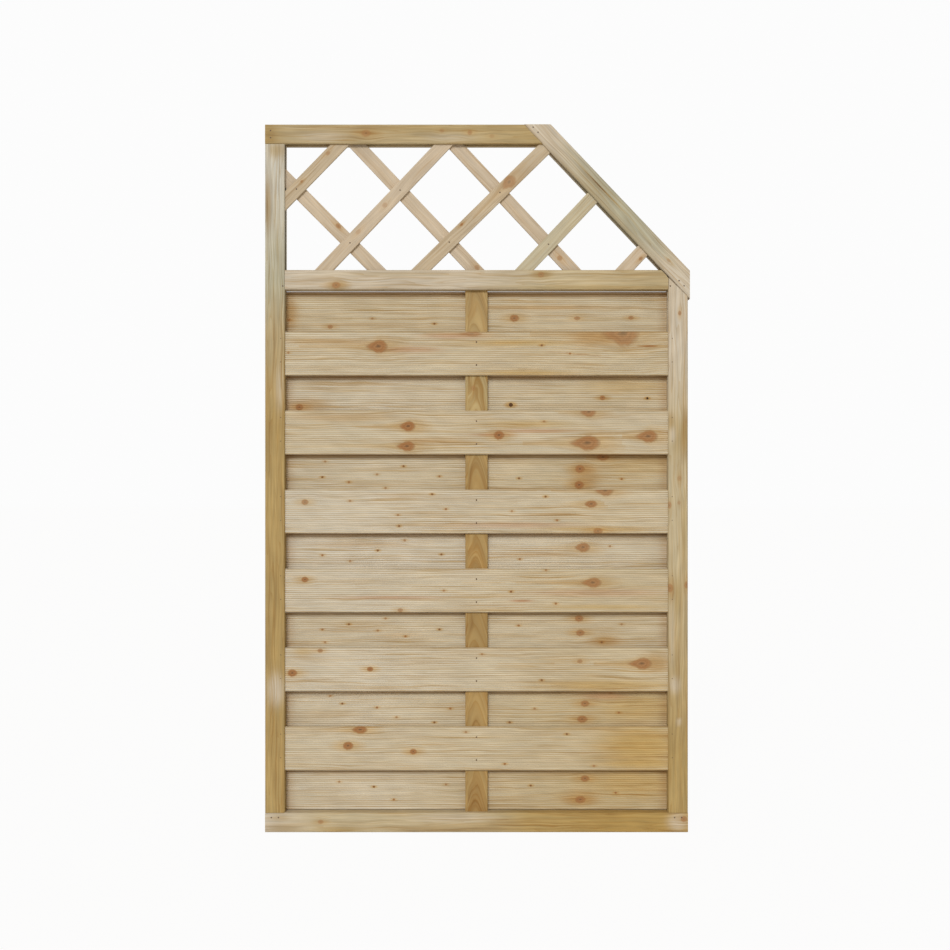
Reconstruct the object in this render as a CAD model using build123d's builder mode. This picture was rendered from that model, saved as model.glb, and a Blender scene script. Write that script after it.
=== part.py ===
"""Privacy fence end panel in impregnated softwood.

A pegged timber frame with one sloped corner holds grooved slats, laid alternately in front of
and behind a centre batten, with a lattice of crossed laths above them.
The origin is the middle of the panel's foot, X runs along the panel, the front faces -Y, Z is up.
"""

import os
from math import atan2, cos, hypot, radians, sin, tan

from build123d import *

os.makedirs("parts", exist_ok=True)

# Overall sizes, in millimetres
panel_width = 1075
panel_height = 1800
lattice_height = 370  # from the top of the panel down to the middle rail
slope_run = 348  # the sloped corner starts this far in from the right-hand side
slope_foot = 4  # and comes down that side to this far above the middle rail
slope_overhang = 5  # the sloped rail's foot stands out past the right stile
slope_gap = 2  # open joint under the sloped rail's foot, closing at the outer face

# Frame timber
frame_face = 50
frame_depth = 50
frame_arris = 4
groove_depth = 12  # grooves that hold the slats and the lattice

# Pegged frame joints
tenon_thickness = 16
tenon_length = 30
slope_tenon_length = 22
stub_tenon_length = 10
stub_tenon_height = 10
tenon_shoulder = 8
tenon_clearance = 0.2
tenon_end_gap = 1

# Slats and the batten that they are nailed to
slat_height = 111
slat_overlap = 10  # a front slat covers its back neighbours by about this much
slat_thickness = 9
slat_arris = 1.5
slat_end_gap = 6  # daylight between the outermost slats and the rails
slat_insert = 10  # each end of a slat enters its stile
slat_clearance = 0.3
rib_pitch = 5.3  # fine grooves along the front of each slat
rib_margin = 2  # plain strip left along each edge
rib_groove_depth = 1.2
batten_width = 57
batten_thickness = 18
batten_insert = 10

# Lattice
lath_width = 35
lath_thickness = 9
lath_insert = 9
lath_clearance = 0.3
lath_angle = 46.2  # from the horizontal
lath_pitch = 252  # along the middle rail
front_lath_start = 151.5  # foot of the first whole lath, from the panel's left side
back_lath_start = 281.8
front_lath_drift = (-22, -2.5, -8, 3, 6.5)  # laid by hand: millimetres off the pitch
front_lath_tilt = (-0.5, 0.2, -1.7, 0.5, 0.5)  # and degrees off the angle
back_lath_drift = (3, 2, -3)
back_lath_tilt = (-1.1, 0.4, 0.7)

# Machine-driven brads: square wire with a wider head
nail_width = 2
nail_head_width = 3
nail_head_height = 1.5
nail_sink = 0.6  # heads are driven below the surface
nail_clearance = 0.05
frame_nail_length = 38
slat_nail_length = 22
lattice_nail_length = 15
slat_nail_spread = 0.53  # the two nails in a slat stand about this share of its height apart
joint_nail_inset = 12  # from the shoulder of a joint
joint_nail_spacing = 18
corner_nail_inset = 14  # from the end of a rail

# Derived positions
right = panel_width / 2
left = -right
inner_right = right - frame_face
inner_left = left + frame_face
front = -frame_depth / 2
top_rail_under = panel_height - frame_face
mid_rail_top = panel_height - lattice_height
mid_rail_under = mid_rail_top - frame_face
slope_drop = lattice_height - slope_foot
slope_angle = atan2(slope_drop, slope_run)
slope_tip = right + slope_overhang

slat_field = mid_rail_under - frame_face
slat_travel = slat_field - 2 * slat_end_gap - slat_height  # from the first slat to the last
slat_count = 2 * round(slat_travel / (slat_height - slat_overlap) / 2) + 1  # outer ones lie at the back
slat_pitch = slat_travel / (slat_count - 1)
first_slat = frame_face + slat_end_gap + slat_height / 2
front_slat_y = -batten_thickness / 2 - slat_thickness / 2
back_slat_y = -front_slat_y
front_lath_y = front_slat_y
back_lath_y = front_lath_y + lath_thickness
rib_count = 2 * int((slat_height / 2 - rib_margin) / rib_pitch) + 1
slat_nail_offset = (int(slat_height * slat_nail_spread / 2 / rib_pitch) + 0.5) * rib_pitch
mid_tenon_low = mid_rail_under + tenon_shoulder / 2
top_tenon_low = top_rail_under + groove_depth + 2


def slope_x(height, depth):
    """X of the line that lies so deep under the sloped rail's outer face, at a height."""
    return right - slope_run + (panel_height - height) / tan(slope_angle) - depth / sin(slope_angle)


def slope_z(x, depth):
    """Height of that line at an X."""
    return panel_height - (x - right + slope_run + depth / sin(slope_angle)) * tan(slope_angle)


def along_slope(edge):
    """Whether an edge runs along the sloped rail."""
    direction = Vector(cos(slope_angle), 0, -sin(slope_angle))
    return abs(edge.tangent_at(0.5).dot(direction)) > 0.999


def front_plane(y):
    """The XZ plane at a Y, facing the front."""
    return Plane.XZ.offset(-y)


def save(piece, name):
    """Labels a finished piece and writes its STEP file."""
    piece.part.label = name
    export_step(piece.part, f"parts/{name}.step")


def drill(points, length, width=nail_width):
    """Cuts nail holes that enter from the front at X, Y, Z points, inside the open part."""
    for x, y, z in points:
        with BuildSketch(front_plane(y)) as hole:
            with Locations((x, z)):
                Rectangle(width + 2 * nail_clearance, nail_width + 2 * nail_clearance)
        extrude(hole.sketch, amount=-length, mode=Mode.SUBTRACT)


def drill_heads(points):
    """Cuts the seats of the nail heads at X, Y, Z points on a front surface."""
    drill(points, nail_sink + nail_head_height, nail_head_width)


def nail_group(points, length, inward=1):
    """One nail at each X, Y, Z point, its head sunk below that surface; inward is +1 along +Y."""
    with BuildPart() as group:
        for x, y, z in points:
            base = Plane(origin=(x, y + inward * nail_sink, z), x_dir=(1, 0, 0), z_dir=(0, inward, 0))
            with BuildSketch(base):
                Rectangle(nail_head_width, nail_width)
            extrude(amount=nail_head_height)
            with BuildSketch(base):
                Rectangle(nail_width, nail_width)
            extrude(amount=length - nail_sink)
    return group


# Places of the nails that peg the frame's joints, all driven from the front
joint_middle = (inner_right + right) / 2
slope_along = (cos(slope_angle) / 2, sin(slope_angle) / 2)
upper_joint = (slope_x(panel_height - frame_face / 2, frame_face), panel_height - frame_face / 2)
lower_joint = (joint_middle, slope_z(joint_middle, frame_face))


def slope_joint_nails(joint, drift):
    """A pair of nails in the sloped rail above one of its joints, drift along the rail."""
    x = joint[0] + joint_nail_inset * sin(slope_angle) + drift * cos(slope_angle)
    z = joint[1] + joint_nail_inset * cos(slope_angle) - drift * sin(slope_angle)
    run, drop = joint_nail_spacing * slope_along[0], joint_nail_spacing * slope_along[1]
    return [(x + side * run, front, z - side * drop) for side in (-1, 1)]


upper_slope_nails = slope_joint_nails(upper_joint, -4)
lower_slope_nails = slope_joint_nails(lower_joint, 0)
top_corner_nails = [
    (left + corner_nail_inset, front, panel_height - frame_face / 2 + side * joint_nail_spacing / 2)
    for side in (-1, 1)
]
left_foot_nails = [
    (left + frame_face / 2 + side * joint_nail_spacing / 2, front, frame_face - joint_nail_inset)
    for side in (-1, 1)
]
right_foot_nails = [(-x, y, z) for x, y, z in left_foot_nails]
mid_joint_nails = [
    (side * (inner_right + stub_tenon_length / 2), front, mid_tenon_low + stub_tenon_height / 2)
    for side in (-1, 1)
]
frame_nails = [
    *upper_slope_nails,
    *lower_slope_nails,
    *top_corner_nails,
    *left_foot_nails,
    *right_foot_nails,
    *mid_joint_nails,
]

# Outlines of the tenons, as X and Z corners seen from the front
foot_tenon_half = frame_face / 2 - tenon_shoulder
upper_tenon_high = panel_height - 2 * tenon_shoulder
lower_tenon_left = inner_right + tenon_shoulder
lower_tenon_right = right - 2 * tenon_shoulder


def upper_tenon(grow):
    """Top rail's tenon in the sloped rail; grow is the mortise's extra room."""
    low, high = top_tenon_low - grow, upper_tenon_high + grow
    root, tip = frame_face, frame_face - slope_tenon_length - grow
    return [
        (slope_x(low, root), low),
        (slope_x(low, tip), low),
        (slope_x(high, tip), high),
        (slope_x(high, root), high),
    ]


def lower_tenon(grow):
    """Right stile's tenon in the sloped rail; its root reaches down across the open joint."""
    low_x, high_x = lower_tenon_left - grow, lower_tenon_right + grow
    root, tip = frame_face + slope_gap, frame_face - slope_tenon_length - grow
    return [
        (low_x, slope_z(low_x, root)),
        (high_x, slope_z(high_x, root)),
        (high_x, slope_z(high_x, tip)),
        (low_x, slope_z(low_x, tip)),
    ]


def tongue(corners):
    """Adds a tenon of the common thickness with this outline to the open part."""
    with BuildSketch(front_plane(-tenon_thickness / 2)) as outline:
        Polygon(*corners, align=None)
    extrude(outline.sketch, amount=-tenon_thickness)


def mortise(corners):
    """Cuts the matching mortise in the open part."""
    half = tenon_thickness / 2 + tenon_clearance
    with BuildSketch(front_plane(-half)) as outline:
        Polygon(*corners, align=None)
    extrude(outline.sketch, amount=-2 * half, mode=Mode.SUBTRACT)


def box_corners(low_x, high_x, low_z, high_z):
    """Corners of an upright rectangle seen from the front."""
    return [(low_x, low_z), (high_x, low_z), (high_x, high_z), (low_x, high_z)]


def groove(corners, middle_y, width):
    """Cuts a groove with this outline, centred on a Y, in the open part."""
    with BuildSketch(front_plane(middle_y - width / 2)) as outline:
        Polygon(*corners, align=None)
    extrude(outline.sketch, amount=-width, mode=Mode.SUBTRACT)


slat_groove_width = slat_thickness + 2 * slat_clearance
lattice_groove_width = 2 * lath_thickness + 2 * lath_clearance
lattice_middle = (front_lath_y + back_lath_y) / 2


def timber(corners, long_edges):
    """A length of frame timber with this front outline and its long arrises rounded, in the open part."""
    with BuildSketch(front_plane(front)) as outline:
        Polygon(*corners, align=None)
    extrude(outline.sketch, amount=-frame_depth)
    fillet(long_edges(), frame_arris)


# Bottom rail, across the whole width, with mortises for both stiles and the batten
with BuildPart() as bottom_rail:
    timber(box_corners(left, right, 0, frame_face), lambda: bottom_rail.edges().filter_by(Axis.X))
    for side in (-1, 1):
        middle = side * joint_middle
        half = foot_tenon_half + tenon_clearance
        mortise_floor = frame_face - tenon_length - tenon_end_gap
        mortise(box_corners(middle - half, middle + half, mortise_floor, frame_face))
    batten_half = batten_width / 2 + tenon_clearance
    groove(
        box_corners(-batten_half, batten_half, frame_face - batten_insert - tenon_end_gap, frame_face),
        0,
        batten_thickness + 2 * tenon_clearance,
    )
    drill(left_foot_nails + right_foot_nails, frame_nail_length)
    drill_heads(left_foot_nails + right_foot_nails)
save(bottom_rail, "bottom_rail")

# Left stile, between the bottom and top rails, grooved for the slats and above them for the lattice
with BuildPart() as left_stile:
    timber(
        box_corners(left, inner_left, frame_face, top_rail_under),
        lambda: left_stile.edges().filter_by(Axis.Z),
    )
    middle = -joint_middle
    tongue(
        box_corners(
            middle - foot_tenon_half,
            middle + foot_tenon_half,
            frame_face - tenon_length,
            top_rail_under + tenon_length,
        )
    )
    for slat_y in (front_slat_y, back_slat_y):
        groove(
            box_corners(inner_left - groove_depth, inner_left, frame_face, mid_rail_under),
            slat_y,
            slat_groove_width,
        )
    groove(
        box_corners(inner_left - groove_depth, inner_left, mid_rail_top, top_rail_under),
        lattice_middle,
        lattice_groove_width,
    )
    mortise(
        box_corners(
            inner_left - stub_tenon_length - tenon_end_gap,
            inner_left,
            mid_tenon_low - tenon_clearance,
            mid_tenon_low + stub_tenon_height + tenon_clearance,
        )
    )
    drill(top_corner_nails + left_foot_nails + mid_joint_nails[:1], frame_nail_length)
    drill_heads(mid_joint_nails[:1])
save(left_stile, "left_stile")

# Right stile, shorter, with its head cut to the slope
with BuildPart() as right_stile:
    timber(
        [
            (inner_right, frame_face),
            (right, frame_face),
            (right, slope_z(right, frame_face)),
            (inner_right, slope_z(inner_right, frame_face + slope_gap)),
        ],
        lambda: right_stile.edges().filter_by(Axis.Z),
    )
    tongue(
        box_corners(
            joint_middle - foot_tenon_half,
            joint_middle + foot_tenon_half,
            frame_face - tenon_length,
            frame_face,
        )
    )
    tongue(lower_tenon(0))
    for slat_y in (front_slat_y, back_slat_y):
        groove(
            box_corners(inner_right, inner_right + groove_depth, frame_face, mid_rail_under),
            slat_y,
            slat_groove_width,
        )
    mortise(
        box_corners(
            inner_right,
            inner_right + stub_tenon_length + tenon_end_gap,
            mid_tenon_low - tenon_clearance,
            mid_tenon_low + stub_tenon_height + tenon_clearance,
        )
    )
    drill(right_foot_nails + lower_slope_nails + mid_joint_nails[1:], frame_nail_length)
    drill_heads(mid_joint_nails[1:])
save(right_stile, "right_stile")

# Top rail, from the left side to the sloped rail, with the lattice groove in its underside
with BuildPart() as top_rail:
    timber(
        [
            (left, top_rail_under),
            (slope_x(top_rail_under, frame_face), top_rail_under),
            (slope_x(panel_height, frame_face), panel_height),
            (left, panel_height),
        ],
        lambda: top_rail.edges().filter_by(Axis.X),
    )
    tongue(upper_tenon(0))
    groove_top = top_rail_under + groove_depth
    groove(
        [
            (inner_left, top_rail_under),
            (slope_x(top_rail_under, frame_face), top_rail_under),
            (slope_x(groove_top, frame_face), groove_top),
            (inner_left, groove_top),
        ],
        lattice_middle,
        lattice_groove_width,
    )
    half = foot_tenon_half + tenon_clearance
    mortise(
        box_corners(
            -joint_middle - half,
            -joint_middle + half,
            top_rail_under,
            top_rail_under + tenon_length + tenon_end_gap,
        )
    )
    drill(top_corner_nails + upper_slope_nails, frame_nail_length)
    drill_heads(top_corner_nails)
save(top_rail, "top_rail")

# Sloped rail over the cut corner, level at its head and plumb at its foot
with BuildPart() as sloped_rail:
    timber(
        [
            (slope_x(panel_height, frame_face), panel_height),
            (slope_tip, slope_z(slope_tip, frame_face)),
            (slope_tip, slope_z(slope_tip, 0)),
            (slope_x(panel_height, 0), panel_height),
        ],
        lambda: sloped_rail.edges().filter_by(along_slope),
    )
    groove_top = top_rail_under + groove_depth
    groove(
        [
            (slope_x(groove_top, frame_face), groove_top),
            (slope_x(mid_rail_top, frame_face), mid_rail_top),
            (slope_x(mid_rail_top, frame_face - groove_depth), mid_rail_top),
            (slope_x(groove_top, frame_face - groove_depth), groove_top),
        ],
        lattice_middle,
        lattice_groove_width,
    )
    mortise(upper_tenon(tenon_clearance))
    mortise(lower_tenon(tenon_clearance))
    drill(upper_slope_nails + lower_slope_nails, frame_nail_length)
    drill_heads(upper_slope_nails + lower_slope_nails)
save(sloped_rail, "sloped_rail")

# Middle rail under the lattice, its right-hand corner cut back under the sloped rail
with BuildPart() as mid_rail:
    timber(
        [
            (inner_left, mid_rail_under),
            (inner_right, mid_rail_under),
            (inner_right, slope_z(inner_right, frame_face + slope_gap)),
            (slope_x(mid_rail_top, frame_face + slope_gap), mid_rail_top),
            (inner_left, mid_rail_top),
        ],
        lambda: mid_rail.edges().filter_by(Axis.X),
    )
    tongue(
        box_corners(
            inner_left - stub_tenon_length,
            inner_right + stub_tenon_length,
            mid_tenon_low,
            mid_tenon_low + stub_tenon_height,
        )
    )
    groove_floor = mid_rail_top - groove_depth
    groove(
        box_corners(inner_left, inner_right, groove_floor, mid_rail_top),
        lattice_middle,
        lattice_groove_width,
    )
    batten_half = batten_width / 2 + tenon_clearance
    groove(
        box_corners(
            -batten_half,
            batten_half,
            mid_rail_under,
            mid_rail_under + batten_insert + tenon_end_gap,
        ),
        0,
        batten_thickness + 2 * tenon_clearance,
    )
    drill(mid_joint_nails, frame_nail_length)
save(mid_rail, "mid_rail")

# Slats from the bottom up: odd ones behind the batten, even ones in front of it
slat_length = inner_right - inner_left + 2 * slat_insert
slat_heights = [first_slat + number * slat_pitch for number in range(slat_count)]
back_heights = slat_heights[0::2]
front_heights = slat_heights[1::2]


def slat_nails(heights, surface_y):
    """Two nails in each slat, one above and one below its middle, on a surface."""
    return [(0, surface_y, z + side * slat_nail_offset) for z in heights for side in (-1, 1)]


front_slat_nails = slat_nails(front_heights, front_slat_y - slat_thickness / 2)
back_slat_nails = slat_nails(back_heights, back_slat_y + slat_thickness / 2)


def slat(height, middle_y, nail_side):
    """One slat with fine grooves along its front; nail_side is -1 where it is nailed from the front."""
    rib_square = rib_groove_depth * 2**0.5
    nail_surface = Plane(
        origin=(0, middle_y + nail_side * slat_thickness / 2, height),
        x_dir=(1, 0, 0),
        z_dir=(0, nail_side, 0),
    )
    with BuildPart() as board:
        with BuildSketch(Plane.YZ) as profile:
            with Locations((middle_y, height)):
                Rectangle(slat_thickness, slat_height)
            chamfer(profile.vertices(), slat_arris)
            with Locations((middle_y - slat_thickness / 2, height)):
                with GridLocations(rib_pitch, rib_pitch, 1, rib_count):
                    Rectangle(rib_square, rib_square, rotation=45, mode=Mode.SUBTRACT)
        extrude(amount=slat_length / 2, both=True)
        for hole_width, hole_depth in (
            (nail_width, slat_thickness),
            (nail_head_width, nail_sink + nail_head_height),
        ):
            with BuildSketch(nail_surface):
                with GridLocations(0, 2 * slat_nail_offset, 1, 2):
                    Rectangle(hole_width + 2 * nail_clearance, nail_width + 2 * nail_clearance)
            extrude(amount=-hole_depth, mode=Mode.SUBTRACT)
    return board


for number, height in enumerate(back_heights, start=1):
    save(slat(height, back_slat_y, 1), f"back_slat_{number}")
for number, height in enumerate(front_heights, start=1):
    save(slat(height, front_slat_y, -1), f"front_slat_{number}")

# Centre batten between the two layers of slats, let into the rails at both ends
with BuildPart() as centre_batten:
    with BuildSketch(Plane.XY.offset(frame_face - batten_insert)):
        Rectangle(batten_width, batten_thickness)
    extrude(amount=slat_field + 2 * batten_insert)
    chamfer(centre_batten.edges().filter_by(Axis.Z), slat_arris)
    blind_depth = slat_nail_length - slat_thickness + 0.5
    for nails, side in ((front_slat_nails, -1), (back_slat_nails, 1)):
        for x, _, z in nails:
            surface = Plane(origin=(x, side * batten_thickness / 2, z), x_dir=(1, 0, 0), z_dir=(0, side, 0))
            with BuildSketch(surface):
                Rectangle(nail_width + 2 * nail_clearance, nail_width + 2 * nail_clearance)
            extrude(amount=-blind_depth, mode=Mode.SUBTRACT)
save(centre_batten, "centre_batten")

# Lattice laths, clipped to the lattice field: the opening grown into the grooves around it
field_left = inner_left - lath_insert
field_low = mid_rail_top - lath_insert
field_high = top_rail_under + lath_insert
lattice_field = [
    (field_left, field_low),
    (slope_x(field_low, frame_face - lath_insert), field_low),
    (slope_x(field_high, frame_face - lath_insert), field_high),
    (field_left, field_high),
]
lath_reach = 2 * hypot(panel_width, panel_height - mid_rail_top)
lath_lean = (panel_height - mid_rail_top) / tan(radians(lath_angle))


def lath_lines(start, direction, drifts, tilts):
    """Foot X and angle of each lath that crosses the field; direction is +1 where it leans right."""
    first = -int((lath_lean + panel_width) // lath_pitch)
    lines = []
    for number in range(first, -first + int(panel_width // lath_pitch) + 1):
        foot = left + start + number * lath_pitch
        head = foot + direction * lath_lean
        if max(foot, head) < inner_left + lath_width or min(foot, head) > inner_right:
            continue
        enters = foot < slope_x(mid_rail_top, frame_face) - lath_width / 2
        if not enters:
            continue
        order = len(lines)
        foot += drifts[order % len(drifts)]
        lines.append((foot, direction * (lath_angle + tilts[order % len(tilts)])))
    return lines


front_laths = lath_lines(front_lath_start, 1, front_lath_drift, front_lath_tilt)
back_laths = lath_lines(back_lath_start, -1, back_lath_drift, back_lath_tilt)


def crossing(front_lath, back_lath):
    """X and Z where two laths' middle lines cross."""
    rise_front, rise_back = tan(radians(front_lath[1])), tan(radians(back_lath[1]))
    x = (rise_back * back_lath[0] - rise_front * front_lath[0]) / (rise_back - rise_front)
    return x, mid_rail_top + rise_front * (x - front_lath[0])


lattice_nails = []
for front_lath in front_laths:
    for back_lath in back_laths:
        x, z = crossing(front_lath, back_lath)
        clear_of_rails = mid_rail_top + lath_width / 2 < z < top_rail_under - lath_width / 2
        clear_of_sides = inner_left + lath_width / 2 < x < slope_x(z, frame_face) - lath_width / 2
        if clear_of_rails and clear_of_sides:
            lattice_nails.append((x, front_lath_y - lath_thickness / 2, z))


def lath(line, middle_y):
    """One lath of the lattice, its ends cut to the field and its crossings drilled."""
    foot, angle = line
    with BuildPart() as strip:
        with BuildSketch(front_plane(middle_y - lath_thickness / 2)):
            with Locations((foot, mid_rail_top)):
                Rectangle(lath_reach, lath_width, rotation=angle)
            Polygon(*lattice_field, align=None, mode=Mode.INTERSECT)
        extrude(amount=-lath_thickness)
        drill(lattice_nails, lattice_nail_length + nail_sink)
        drill_heads(lattice_nails)
    return strip


for number, line in enumerate(front_laths, start=1):
    strip = lath(line, front_lath_y)
    save(strip, f"front_lath_{number}")
for number, line in enumerate(back_laths, start=1):
    strip = lath(line, back_lath_y)
    save(strip, f"back_lath_{number}")

# Nails, one node for each kind
save(nail_group(frame_nails, frame_nail_length - 1), "frame_nails")
save(nail_group(front_slat_nails, slat_nail_length), "front_slat_nails")
save(nail_group(back_slat_nails, slat_nail_length, inward=-1), "back_slat_nails")
save(nail_group(lattice_nails, lattice_nail_length), "lattice_nails")
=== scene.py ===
"""Looks of the privacy fence end panel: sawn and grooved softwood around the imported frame.

Every board is a closed outline carried along a straight line. The outline, the cuts at its ends and
the colour, grain and knots on its faces are worked out as whole arrays. Sizes here are millimetres;
meshes are written in metres.
"""

import bpy
import numpy as np
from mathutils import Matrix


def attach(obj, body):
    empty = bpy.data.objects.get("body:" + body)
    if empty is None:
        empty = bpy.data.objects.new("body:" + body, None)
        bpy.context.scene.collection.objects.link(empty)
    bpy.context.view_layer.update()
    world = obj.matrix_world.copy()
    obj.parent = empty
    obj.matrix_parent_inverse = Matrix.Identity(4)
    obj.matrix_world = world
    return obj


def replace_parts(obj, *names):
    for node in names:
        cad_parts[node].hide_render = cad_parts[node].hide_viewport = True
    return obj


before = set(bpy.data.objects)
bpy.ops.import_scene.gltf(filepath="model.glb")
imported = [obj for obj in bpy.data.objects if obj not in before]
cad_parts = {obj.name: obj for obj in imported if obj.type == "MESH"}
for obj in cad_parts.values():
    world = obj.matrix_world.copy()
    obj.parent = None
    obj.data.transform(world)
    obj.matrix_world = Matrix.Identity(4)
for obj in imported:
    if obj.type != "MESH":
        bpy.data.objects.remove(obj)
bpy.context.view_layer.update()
scene = bpy.context.scene

# Sizes of the panel in millimetres, as in the construction
METRE = 0.001
PANEL_WIDTH = 1075.0
PANEL_HEIGHT = 1800.0
FRAME_FACE = 50.0
FRAME_DEPTH = 50.0
FRAME_ARRIS = 4.0
LATTICE_HEIGHT = 370.0
SLOPE_RUN = 348.0
SLOPE_FOOT = 4.0
SLOPE_OVERHANG = 5.0
SLOPE_GAP = 2.0
GROOVE_DEPTH = 12.0
SLAT_HEIGHT = 111.0
SLAT_THICKNESS = 9.0
SLAT_ARRIS = 1.5
SLAT_END_GAP = 6.0
SLAT_INSERT = 10.0
RIB_PITCH = 5.3
RIB_COUNT = 21
RIB_DEPTH = 1.2
BATTEN_WIDTH = 57.0
BATTEN_THICKNESS = 18.0
BATTEN_INSERT = 10.0
LATH_WIDTH = 35.0
LATH_THICKNESS = 9.0
LATH_INSERT = 9.0
LATH_ARRIS = 1.2
GROOVE_CLEARANCE = 0.6

# How far the first and the last slat come closer to their rails here
END_SLAT_REACH = 4.0

RIGHT = PANEL_WIDTH / 2
LEFT = -RIGHT
INNER_RIGHT = RIGHT - FRAME_FACE
INNER_LEFT = LEFT + FRAME_FACE
TOP_RAIL_UNDER = PANEL_HEIGHT - FRAME_FACE
MID_RAIL_TOP = PANEL_HEIGHT - LATTICE_HEIGHT
MID_RAIL_UNDER = MID_RAIL_TOP - FRAME_FACE
FIRST_SLAT = FRAME_FACE + SLAT_END_GAP + SLAT_HEIGHT / 2
LAST_SLAT = MID_RAIL_UNDER - SLAT_END_GAP - SLAT_HEIGHT / 2
FRONT_SLAT_COUNT = 6
BACK_SLAT_COUNT = FRONT_SLAT_COUNT + 1
SLAT_PITCH = (LAST_SLAT - FIRST_SLAT) / (FRONT_SLAT_COUNT + BACK_SLAT_COUNT - 1)
SLOPE_ANGLE = np.arctan2(LATTICE_HEIGHT - SLOPE_FOOT, SLOPE_RUN)
SLAT_LAYER = (BATTEN_THICKNESS + SLAT_THICKNESS) / 2
RIGHTWARD = np.array((1.0, 0.0, 0.0))
BACKWARD = np.array((0.0, 1.0, 0.0))
UPWARD = np.array((0.0, 0.0, 1.0))

# Grain and colour of a board: depths and reaches in millimetres, shades as factors on each colour
CUT_REACH = 110.0
GROOVE_STEP = 0.1
KNOT_REACH = 1.2
KNOT_PULL = 2.6
FAR_KNOT = 99.0
NO_KNOT = (9.0, 9.0, 0.0)
TAILED_KNOT = (12.0, 20.0)
MOTTLE_WAVES = (620.0, 340.0, 190.0, 95.0, 55.0)
MOTTLE_SLANT = 2.5
MOTTLE_DEPTH = 0.07
# Painted shade in the rib grooves, as the share taken off red, green and blue at a groove's floor
GROOVE_PAINTED_SHADE = np.array((0.1, 0.2, 0.38))
END_GRAIN_SHADE = np.array((0.86, 0.82, 0.76))
SEED_SHIFT = np.array((731.0, 97.0))
SHARP_EDGE = np.radians(62.0)


def slope_x(height, depth):
    """X of the line so deep under the sloped rail's outer face, at a height."""
    return RIGHT - SLOPE_RUN + (PANEL_HEIGHT - height) / np.tan(SLOPE_ANGLE) - depth / np.sin(SLOPE_ANGLE)


def slope_z(x, depth):
    """Height of that line at an X."""
    return PANEL_HEIGHT - (x - RIGHT + SLOPE_RUN + depth / np.sin(SLOPE_ANGLE)) * np.tan(SLOPE_ANGLE)


def from_screen(red, green, blue):
    """A colour as it looks on screen, 0 to 255, turned into linear light."""
    shown = np.array((red, green, blue)) / 255.0
    return np.where(shown <= 0.04045, shown / 12.92, ((shown + 0.055) / 1.055) ** 2.4)


def smooth_step(low, high, value):
    """0 below low, 1 above high and an S-curve between them."""
    part = np.clip((value - low) / (high - low), 0.0, 1.0)
    return part * part * (3.0 - 2.0 * part)


def rounded_outline(width, depth, radius, spacing, grooves=(), groove_side=1):
    """Closed outline of a rounded rectangle: four quarter circles joined by straight runs of points.

    Returns across and through coordinates, and for each point the number of the groove whose floor
    it belongs to, or -1. A groove is (middle, width) on the side that groove_side names.
    """
    half_width, half_depth = width / 2, depth / 2
    turn = np.linspace(0.0, np.pi / 2, 5)
    across, through, floor = [], [], []

    def run(a, t, number=-1):
        across.append(np.atleast_1d(a))
        through.append(np.atleast_1d(t))
        floor.append(np.full(len(across[-1]), number))

    def flat(length):
        count = max(int(round(length / spacing)), 1)
        return np.linspace(-length / 2, length / 2, count + 1)[1:-1]

    def side(sign):
        edge = half_depth - radius
        cut = grooves if sign == groove_side else ()
        stops = [(middle - size / 2, middle + size / 2) for middle, size in cut]
        place = -edge
        parts = []
        for number, (low, high) in enumerate(stops):
            count = max(int((low - place) / spacing), 1)
            between = np.linspace(place, low, count + 1)[1:]
            parts.append((between, -1))
            parts.append((np.array((low, high)), number))
            parts.append((np.array((high,)), -1))
            place = high
        count = max(int((edge - place) / spacing), 1)
        parts.append((np.linspace(place, edge, count + 1)[1:-1], -1))
        return parts

    corner = half_width - radius, half_depth - radius
    run(flat(2 * corner[0]), np.full(len(flat(2 * corner[0])), -half_depth))
    run(corner[0] + radius * np.sin(turn), -corner[1] - radius * np.cos(turn))
    for values, number in side(1):
        run(np.full(len(values), half_width), values, number)
    run(corner[0] + radius * np.cos(turn), corner[1] + radius * np.sin(turn))
    run(-flat(2 * corner[0]), np.full(len(flat(2 * corner[0])), half_depth))
    run(-corner[0] - radius * np.sin(turn), corner[1] + radius * np.cos(turn))
    for values, number in reversed(side(-1)):
        run(np.full(len(values), -half_width), values[::-1], number)
    run(-corner[0] - radius * np.cos(turn), -corner[1] - radius * np.sin(turn))
    return np.concatenate(across), np.concatenate(through), np.concatenate(floor)


def ribbed_outline(below=0.0, above=0.0):
    """Closed outline of a slat: lands and rounded V grooves up its front, eased edges and a plain back.

    An end slat reaches a little further below or above, up to the rail.
    """
    half, face = SLAT_HEIGHT / 2, SLAT_THICKNESS / 2
    middles = (np.arange(RIB_COUNT) - (RIB_COUNT - 1) / 2) * RIB_PITCH
    offsets = np.array((-1.25, -0.45, 0.45, 1.25))
    depths = np.array((0.0, RIB_DEPTH, RIB_DEPTH, 0.0))
    front_across = (middles[:, None] + offsets).ravel()
    front_through = np.tile(-face + depths, RIB_COUNT)
    turn = np.linspace(0.0, np.pi / 2, 4)
    corner = half - SLAT_ARRIS, face - SLAT_ARRIS
    back = np.linspace(corner[0], -corner[0], 22)[1:-1]
    across = np.concatenate((
        front_across,
        above + corner[0] + SLAT_ARRIS * np.sin(turn),
        above + corner[0] + SLAT_ARRIS * np.cos(turn),
        back,
        -below - corner[0] - SLAT_ARRIS * np.sin(turn),
        -below - corner[0] - SLAT_ARRIS * np.cos(turn),
    ))
    through = np.concatenate((
        front_through,
        -corner[1] - SLAT_ARRIS * np.cos(turn),
        corner[1] + SLAT_ARRIS * np.sin(turn),
        np.full(len(back), face),
        corner[1] + SLAT_ARRIS * np.cos(turn),
        -corner[1] - SLAT_ARRIS * np.sin(turn),
    ))
    return across, through, np.full(len(across), -1)


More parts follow.
